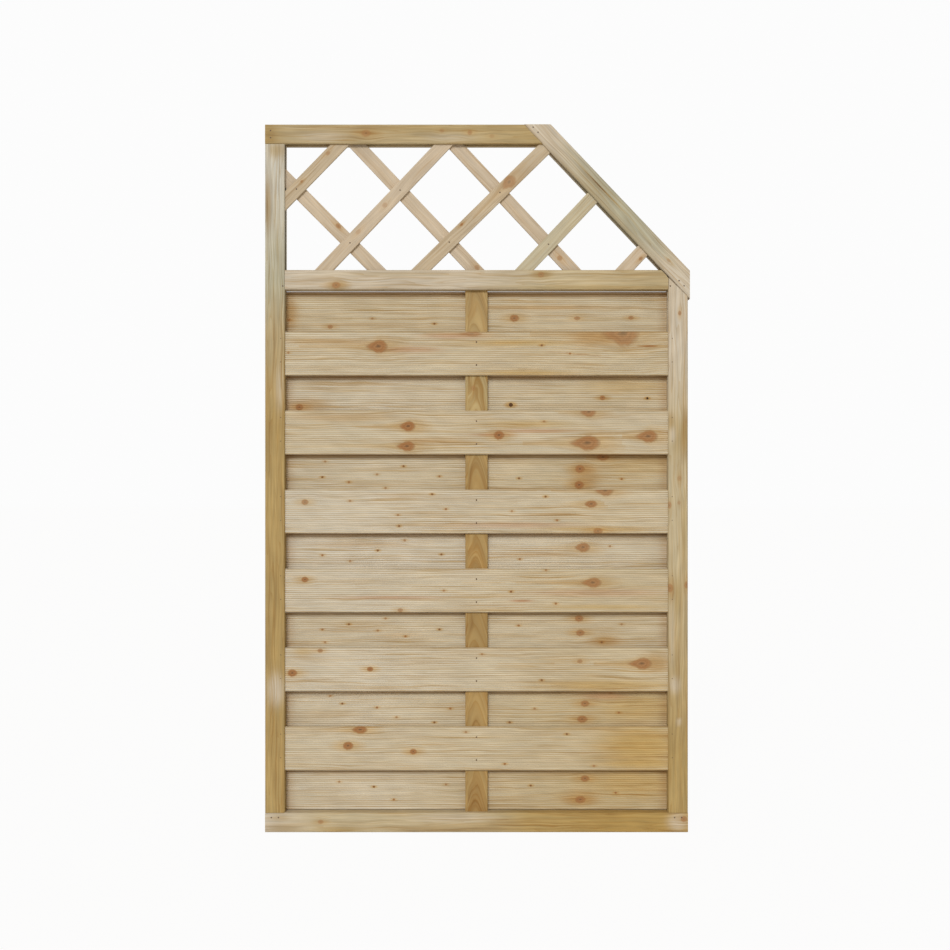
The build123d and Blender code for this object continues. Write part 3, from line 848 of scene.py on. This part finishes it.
FRONT_WARMTH = ((0.35, 0.65), (0.15, 0.6), (0.15, 0.6), (0.1, 0.45), (0.4, 0.4), (0.4, 0.55))
BACK_WARMTH = ((0.25, 1.0), (0.25, 0.85), (0.3, 0.5), (0.0, 0.25), (0.3, 0.65), (0.2, 0.5), (0.5, 0.5))
RED_WOOD = (186, 134, 92)
GOLD_WOOD = (196, 162, 86)
STRAW_STREAK = (186, 150, 92)
FRONT_PATCHES = (
    ((420, 8, 120, 60, GOLD_WOOD, 0.75), (420, -40, 120, 12, GOLD_WOOD, 0.5)),
    ((-440, 46, 28, 12, GOLD_WOOD, 0.5), (330, -40, 170, 14, GOLD_WOOD, 0.6),
     (462, 22, 30, 26, STRAW_STREAK, 0.4)),
    ((-215, -18, 130, 4, RED_WOOD, 0.5), (310, -6, 170, 10, RED_WOOD, 0.4),
     (115, -26, 28, 3, RED_WOOD, 0.8), (320, -42, 160, 6, GOLD_WOOD, 0.5)),
    ((100, -35, 160, 8, RED_WOOD, 0.4), (190, -8, 90, 4, STRAW_STREAK, 0.6),
     (300, -45, 140, 7, GOLD_WOOD, 0.5)),
    ((150, 4, 95, 5, RED_WOOD, 0.55), (40, -6, 60, 4, RED_WOOD, 0.5), (130, 22, 130, 10, GOLD_WOOD, 0.5),
     (-330, 38, 140, 10, STRAW_STREAK, 0.5), (-100, -20, 90, 8, STRAW_STREAK, 0.5)),
    ((100, 27, 150, 9, GOLD_WOOD, 0.6), (-165, 10, 75, 8, RED_WOOD, 0.5),
     (120, -49, 140, 7, GOLD_WOOD, 0.6), (-60, 45, 80, 8, RED_WOOD, 0.5),
     (300, 40, 60, 26, STRAW_STREAK, 0.6), (-380, 30, 110, 7, STRAW_STREAK, 0.5)),
)

# Painted shade: the front of a back slat is painted browner beside the stiles and in the strip up to the
# front slat that overlaps it, where they shade it
PAINTED_SHADOW_BROWN = (164, 122, 66)
WHOLE_BOARD = 4000
PAINTED_END_SHADOWS = (
    (INNER_LEFT, 0, 18, WHOLE_BOARD, PAINTED_SHADOW_BROWN, 0.3),
    (INNER_RIGHT, 0, 18, WHOLE_BOARD, PAINTED_SHADOW_BROWN, 0.3),
)
BACK_PATCHES = (
    ((400, 10, 120, 40, GOLD_WOOD, 0.5), (265, -30, 50, 20, STRAW_STREAK, 0.5)),
    ((420, 0, 110, 40, GOLD_WOOD, 0.5), (330, 30, 60, 10, RED_WOOD, 0.5)),
    ((330, -30, 40, 16, STRAW_STREAK, 0.7), (-200, -16, 60, 6, STRAW_STREAK, 0.4)),
    ((-300, 16, 140, 6, STRAW_STREAK, 0.4), (150, -10, 120, 5, STRAW_STREAK, 0.5)),
    ((280, -10, 40, 34, STRAW_STREAK, 0.6), (420, 20, 110, 30, GOLD_WOOD, 0.35)),
    ((-430, -30, 55, 18, STRAW_STREAK, 0.6), (380, 20, 120, 20, GOLD_WOOD, 0.4)),
    ((150, 20, 200, 6, STRAW_STREAK, 0.6), (-480, 6, 24, 40, STRAW_STREAK, 0.7),
     (-300, -25, 160, 5, STRAW_STREAK, 0.4)),
)

PLAIN_SLAT = ribbed_outline()


def slat(name, height, layer, pins, knots, warmth, patches, seed, painted_shadow_patches=(), outline=PLAIN_SLAT):
    """A slat at a height, in front of the batten where layer is -1 and behind it where it is 1.

    Its colour goes from the cool to the warm slat colour by the share given for its left and its right.
    Painted shadow patches, if given, go on its front half only.
    """
    length = INNER_RIGHT + SLAT_INSERT
    cool, warm = np.array(COOL_SLAT), np.array(WARM_SLAT)
    left, right = (cool + share * (warm - cool) for share in warmth)
    pin_knots = ((*place, *PIN_KNOTS[number % len(PIN_KNOTS)]) for number, place in enumerate(pins))
    piece = board(
        name,
        outline,
        np.array((0.0, layer * SLAT_LAYER, height)),
        RIGHTWARD,
        UPWARD,
        at(-length),
        at(length),
        slat_timber,
        ((-250, left), (250, right)),
        knots=(*knots, *pin_knots),
        patches=patches,
        front_patches=painted_shadow_patches,
        groove_painted_shade=1.0,
        seed=seed,
    )
    fit(piece, "slat_wood", name)


front_slats = zip(FRONT_PINS, FRONT_KNOTS, FRONT_WARMTH, FRONT_PATCHES)
for order, looks in enumerate(front_slats):
    height = FIRST_SLAT + (2 * order + 1) * SLAT_PITCH
    slat(f"front_slat_{order + 1}", height, -1, *looks, 20 + order)
back_slats = zip(BACK_PINS, BACK_KNOTS, BACK_WARMTH, BACK_PATCHES)
covered_from = SLAT_PITCH - SLAT_HEIGHT / 2
for order, looks in enumerate(back_slats):
    height = FIRST_SLAT + 2 * order * SLAT_PITCH
    lowest, highest = order == 0, order == BACK_SLAT_COUNT - 1
    # Painted shadow along the top of each back slat, from the edge of the front slat above it, or from
    # its own top edge under the middle rail
    edge = SLAT_HEIGHT / 2 if highest else covered_from
    painted_shadow_patches = ((0, edge, WHOLE_BOARD, 10, PAINTED_SHADOW_BROWN, 0.6), *PAINTED_END_SHADOWS)
    outline = ribbed_outline(lowest * END_SLAT_REACH, highest * END_SLAT_REACH)
    slat(f"back_slat_{order + 1}", height, 1, *looks, 40 + order, painted_shadow_patches, outline)

# Lattice laths: foot on the middle rail's top and lean, in degrees, with their knots along and across
ROSE_LATH = (206, 189, 164)
SAND_LATH = (199, 182, 154)
GREEN_LATH = (197, 187, 159)
FRONT_LATHS = (
    (-660.0, 45.7, SAND_LATH, ((410, 6, 6, 4, 0.5), (312, 4, 4, 3, 0.7))),
    (-388.5, 46.4, ROSE_LATH, ((227, 2, 7, 6, 0.35), (131, 4, 8, 5, 0.3))),
    (-142.0, 44.5, SAND_LATH, ((318, 2, 18, 15, 0.6), (156, 10, 5, 3, 0.9))),
    (121.0, 46.7, GREEN_LATH, ()),
    (376.5, 46.7, ROSE_LATH, ((50, -10, 6, 4, 0.7),)),
)
BACK_LATHS = (
    (-252.7, -45.1, ROSE_LATH, ((-151, 10, 8, 5, 0.7),)),
    (-1.7, -46.6, ROSE_LATH, ((-4, 8, 7, 6, 0.5),)),
    (245.3, -46.9, ROSE_LATH, ((-46, -2, 7, 6, 0.6),)),
)
lath_outline = rounded_outline(LATH_WIDTH, LATH_THICKNESS, LATH_ARRIS, OUTLINE_STEP)


def lath(name, foot, lean, colour, through, knots, seed):
    """A lath through its foot, cut where it meets the bottoms of the grooves round the lattice.

    Along the lath, s is measured from the foot; each side of the field gives one limit on s that is
    linear in the distance across the lath, and the nearest limit is the cut.
    """
    lean = np.radians(lean)
    along = np.array((np.cos(lean), 0.0, np.sin(lean)))
    out = np.array((-np.sin(lean), 0.0, np.cos(lean)))
    field = (
        (np.array((-1.0, 0.0, 0.0)), LATH_INSERT - INNER_LEFT),
        (np.array((0.0, 0.0, -1.0)), LATH_INSERT - MID_RAIL_TOP),
        (np.array((0.0, 0.0, 1.0)), TOP_RAIL_UNDER + LATH_INSERT),
        (slope_out, float(np.dot(slope_head, slope_out)) - FRAME_FACE / 2 + LATH_INSERT),
    )
    origin = np.array((foot, through, MID_RAIL_TOP))

    def limit(b, rising):
        best = np.full_like(b, np.inf if rising else -np.inf)
        for normal, distance in field:
            speed = float(np.dot(normal, along))
            place = (distance - float(np.dot(normal, origin)) - b * float(np.dot(normal, out))) / speed
            if rising and speed > 0:
                best = np.minimum(best, place)
            if not rising and speed < 0:
                best = np.maximum(best, place)
        return best

    piece = board(
        name,
        lath_outline,
        origin,
        along,
        out,
        lambda b: limit(b, False),
        lambda b: limit(b, True),
        lath_timber,
        ((0, colour),),
        knots=knots,
        spacing=6.0,
        seed=seed,
    )
    fit(piece, "lath_wood", name)


for order, (foot, lean, colour, knots) in enumerate(FRONT_LATHS):
    lath(f"front_lath_{order + 1}", foot, lean, colour, -SLAT_LAYER, knots, 60 + order)
for order, (foot, lean, colour, knots) in enumerate(BACK_LATHS):
    lath(f"back_lath_{order + 1}", foot, lean, colour, -SLAT_LAYER + LATH_THICKNESS, knots, 70 + order)

# Brads, driven in so that only the tops of their heads show
BRAD_SHARP_EDGE = np.radians(50.0)
DULL_STEEL = (0.05, 0.04, 0.035, 1.0)
RUST = (0.16, 0.09, 0.05, 1.0)
brad_steel = bpy.data.materials.new("dull brad wire")
brad_steel.use_nodes = True
brad_tree = brad_steel.node_tree
brad_surface = brad_tree.nodes["Principled BSDF"]
brad_place = add_node(brad_tree, "ShaderNodeTexCoord").outputs["Object"]
brad_noise = add_node(brad_tree, "ShaderNodeTexNoise", (("Vector", brad_place), ("Scale", 900.0)))
brad_colour = mix_colours(brad_tree, brad_noise.outputs["Fac"], DULL_STEEL, RUST)
brad_tree.links.new(brad_colour, brad_surface.inputs["Base Color"])
brad_surface.inputs["Metallic"].default_value = 0.5
brad_surface.inputs["Roughness"].default_value = 0.6


def brads(name, heads, length, inward, radius=2.0):
    """Round brads along Y at X, Y, Z head points: a profile of radius over depth, turned round."""
    depths = np.array((-0.3, -0.15, 0.15, 1.2, 1.6, length - 2.5, length))
    radii = np.array((0.55, 0.88, 1.0, 0.95, 0.72, 0.72, 0.15)) * radius
    turn = np.linspace(0.0, 2 * np.pi, 12, endpoint=False)
    heads = np.array(heads, dtype=float)
    ring = np.stack(
        (
            radii[:, None] * np.cos(turn),
            np.tile(inward * depths[:, None], (1, len(turn))),
            radii[:, None] * np.sin(turn),
        ),
        axis=-1,
    )
    points = heads[:, None, None, :] + ring
    number = np.arange(points[..., 0].size).reshape(points.shape[:3])
    beside = np.roll(number, -1, axis=2)
    corners = (number[:, :-1], beside[:, :-1], beside[:, 1:], number[:, 1:])
    quads = np.stack(corners, axis=-1).reshape(-1, 4)
    tops, tips = number[:, 0][:, ::-1], number[:, -1]
    if inward > 0:
        quads, tops, tips = quads[:, ::-1], tops[:, ::-1], tips[:, ::-1]
    mesh = bpy.data.meshes.new(name)
    faces = quads.tolist() + tops.tolist() + tips.tolist()
    mesh.from_pydata((points.reshape(-1, 3) * METRE).tolist(), [], faces)
    mesh.polygons.foreach_set("use_smooth", np.ones(len(mesh.polygons), dtype=bool))
    mesh.set_sharp_from_angle(angle=BRAD_SHARP_EDGE)
    mesh.materials.append(brad_steel)
    piece = bpy.data.objects.new(name, mesh)
    scene.collection.objects.link(piece)
    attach(piece, "root")
    return piece


SLAT_NAIL_OFFSET = 5.5 * RIB_PITCH
SLAT_NAIL_LENGTH = 22.0
FRAME_NAIL_LENGTH = 37.0
FRAME_NAIL_SPREAD = 9.0
FRAME_NAIL_INSET = 12.0
CORNER_NAIL_INSET = 14.0
MID_NAIL_INSET = 5.0
LATTICE_NAIL_LENGTH = 15.0
END_PIN_LENGTH = 18.0
END_PIN_RADIUS = 1.3
END_PIN_INSET = 10.0
END_PIN_HEIGHTS = np.array((-22.0, 38.0))
FRAME_FRONT = -FRAME_DEPTH / 2
SLAT_FRONT = -SLAT_LAYER - SLAT_THICKNESS / 2
front_middles = FIRST_SLAT + (2 * np.arange(FRONT_SLAT_COUNT) + 1) * SLAT_PITCH
back_middles = FIRST_SLAT + 2 * np.arange(BACK_SLAT_COUNT) * SLAT_PITCH
both_ways = np.array((-1.0, 1.0))

front_heights = (front_middles[:, None] + SLAT_NAIL_OFFSET * both_ways).ravel()
back_heights = (back_middles[:, None] + SLAT_NAIL_OFFSET * both_ways).ravel()
front_heads = [(0.0, SLAT_FRONT, z) for z in front_heights]
back_heads = [(0.0, -SLAT_FRONT, z) for z in back_heights]
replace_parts(brads("front_slat_nails", front_heads, SLAT_NAIL_LENGTH, 1), "front_slat_nails")
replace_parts(brads("back_slat_nails", back_heads, SLAT_NAIL_LENGTH, -1), "back_slat_nails")


def slope_joint_heads(x, z, drift):
    """A pair of brads in the sloped rail, side by side along a joint's line and above it."""
    slides = drift + both_ways * FRAME_NAIL_SPREAD
    return [
        (
            x + FRAME_NAIL_INSET * np.sin(SLOPE_ANGLE) + slide * np.cos(SLOPE_ANGLE),
            FRAME_FRONT,
            z + FRAME_NAIL_INSET * np.cos(SLOPE_ANGLE) - slide * np.sin(SLOPE_ANGLE),
        )
        for slide in slides
    ]


joint_x = RIGHT - FRAME_FACE / 2
joint_z = PANEL_HEIGHT - FRAME_FACE / 2
spreads = both_ways * FRAME_NAIL_SPREAD
foot_z = FRAME_FACE - FRAME_NAIL_INSET
mid_x = INNER_RIGHT + MID_NAIL_INSET
frame_heads = [
    *slope_joint_heads(slope_x(joint_z, FRAME_FACE), joint_z, -4.0),
    *slope_joint_heads(joint_x, slope_z(joint_x, FRAME_FACE), 0.0),
    *((LEFT + CORNER_NAIL_INSET, FRAME_FRONT, joint_z + spread) for spread in spreads),
    *((side * joint_x + spread, FRAME_FRONT, foot_z) for side in both_ways for spread in spreads),
    *((side * mid_x, FRAME_FRONT, MID_RAIL_UNDER + FRAME_NAIL_SPREAD) for side in both_ways),
]
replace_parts(brads("frame_nails", frame_heads, FRAME_NAIL_LENGTH, 1), "frame_nails")

crossings = []
clear = LATH_WIDTH / 2
for front_foot, front_lean, *_ in FRONT_LATHS:
    for back_foot, back_lean, *_ in BACK_LATHS:
        front_rise, back_rise = np.tan(np.radians(front_lean)), np.tan(np.radians(back_lean))
        x = (back_rise * back_foot - front_rise * front_foot) / (back_rise - front_rise)
        z = MID_RAIL_TOP + front_rise * (x - front_foot)
        inside_x = INNER_LEFT + clear < x < slope_x(z, FRAME_FACE) - clear
        inside_z = MID_RAIL_TOP + clear < z < TOP_RAIL_UNDER - clear
        if inside_x and inside_z:
            crossings.append((x, SLAT_FRONT, z))
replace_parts(brads("lattice_nails", crossings, LATTICE_NAIL_LENGTH, 1), "lattice_nails")

end_pins = [
    (side * (INNER_RIGHT + END_PIN_INSET), FRAME_FRONT, z)
    for side in both_ways
    for z in (front_middles[:, None] + END_PIN_HEIGHTS).ravel()
]
brads("slat_end_pins", end_pins, END_PIN_LENGTH, 1, radius=END_PIN_RADIUS)

# Floor, light and camera, in metres
FLOOR_REACH = 40
FLOOR_GREY = (0.85, 0.85, 0.85, 1.0)
FLOOR_GLOW = 0.94
WHITE = (1.0, 1.0, 1.0, 1.0)
AMBIENT = 0.44
AMBIENT_TINT = (1.0, 0.89, 0.72, 1.0)
SKY_SEEN = 0.975


def seen_share(tree):
    """1 where the camera sees a thing, also in a reflection or through glass, and 0 for its light."""
    rays = add_node(tree, "ShaderNodeLightPath").outputs
    seen = calculate(tree, "MAXIMUM", rays["Is Camera Ray"], rays["Is Glossy Ray"])
    return calculate(tree, "MAXIMUM", seen, rays["Is Transmission Ray"])


floor_mesh = bpy.data.meshes.new("studio_floor")
floor_corners = [(x * FLOOR_REACH, y * FLOOR_REACH, 0) for x, y in ((-1, -1), (1, -1), (1, 1), (-1, 1))]
floor_mesh.from_pydata(floor_corners, [], [(0, 1, 2, 3)])
floor = bpy.data.objects.new("studio_floor", floor_mesh)
scene.collection.objects.link(floor)
floor_white = bpy.data.materials.new("white studio floor")
floor_white.use_nodes = True
floor_tree = floor_white.node_tree
floor_tree.nodes.clear()
matt = add_node(floor_tree, "ShaderNodeBsdfDiffuse", (("Color", FLOOR_GREY),))
glow = add_node(floor_tree, "ShaderNodeEmission", (("Color", WHITE), ("Strength", 1.0)))
glow_share = calculate(floor_tree, "MULTIPLY", seen_share(floor_tree), FLOOR_GLOW)
blended = add_node(
    floor_tree, "ShaderNodeMixShader", ((0, glow_share), (1, matt.outputs[0]), (2, glow.outputs[0]))
)
floor_out = add_node(floor_tree, "ShaderNodeOutputMaterial")
floor_tree.links.new(blended.outputs[0], floor_out.inputs["Surface"])
floor_mesh.materials.append(floor_white)

world = bpy.data.worlds.new("studio")
scene.world = world
world.use_nodes = True
sky = world.node_tree
sky.nodes.clear()
seen = seen_share(sky)
level = rescale(sky, seen, 0.0, 1.0, AMBIENT, SKY_SEEN)
tone = mix_colours(sky, seen, AMBIENT_TINT, WHITE)
background = add_node(sky, "ShaderNodeBackground", (("Color", tone), ("Strength", level)))
sky_out = add_node(sky, "ShaderNodeOutputWorld")
sky.links.new(background.outputs[0], sky_out.inputs["Surface"])

key = bpy.data.lights.new("raised_soft_light", "SUN")
key.angle = np.radians(18.0)
key.energy = 1.7
key.color = (0.985, 1.02, 1.085)
key_light = bpy.data.objects.new("raised_soft_light", key)
key_light.location = (-0.6, -3.0, 3.2)
key_light.rotation_euler = (np.radians(66.0), 0.0, np.radians(-8.0))
scene.collection.objects.link(key_light)

CAMERA_DISTANCE = 4.0
CAMERA_X = -0.0038
CAMERA_Z = 0.9086
PICTURE_WIDTH = 950
MM_PER_PIXEL = 2.5415
SENSOR = 36.0
lens = bpy.data.cameras.new("front_camera")
lens.sensor_width = SENSOR
lens.lens = SENSOR * CAMERA_DISTANCE / (PICTURE_WIDTH * MM_PER_PIXEL * METRE)
camera = bpy.data.objects.new("front_camera", lens)
camera.location = (CAMERA_X, -FRAME_DEPTH / 2 * METRE - CAMERA_DISTANCE, CAMERA_Z)
camera.rotation_euler = (np.pi / 2, 0.0, 0.0)
scene.collection.objects.link(camera)
scene.camera = camera
scene.view_settings.view_transform = "Standard"
